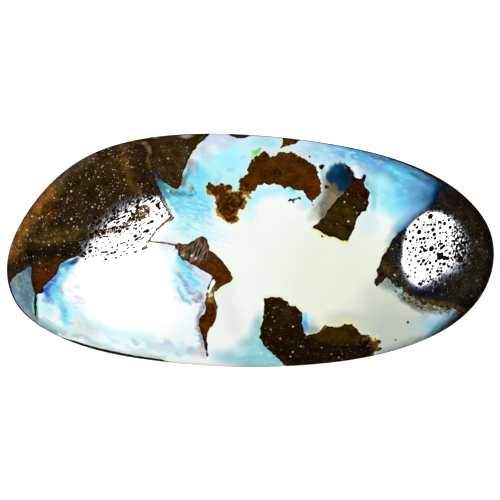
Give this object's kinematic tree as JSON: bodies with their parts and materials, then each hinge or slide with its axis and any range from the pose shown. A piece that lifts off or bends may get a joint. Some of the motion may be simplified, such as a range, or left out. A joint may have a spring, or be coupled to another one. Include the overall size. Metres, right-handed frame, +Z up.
{
  "type": "polished boulder opal",
  "caption": "Polished freeform of boulder opal: a low dome of blue and white opal with patches of brown ironstone, on a flat ironstone back.",
  "frame": {"origin": "on the flat back, under the middle of the stone's length and width", "axes": "+Z up through the dome, +X along the length towards the narrower end"},
  "size_m": [0.038, 0.0182, 0.0066],
  "materials": {
    "opal_in_ironstone": "polished: milky white to blue opal with pitted dark brown ironstone patches, brown ironstone back"
  },
  "bodies": {
    "root": {"opal_stone": "opal_in_ironstone"}
  },
  "joints": []
}
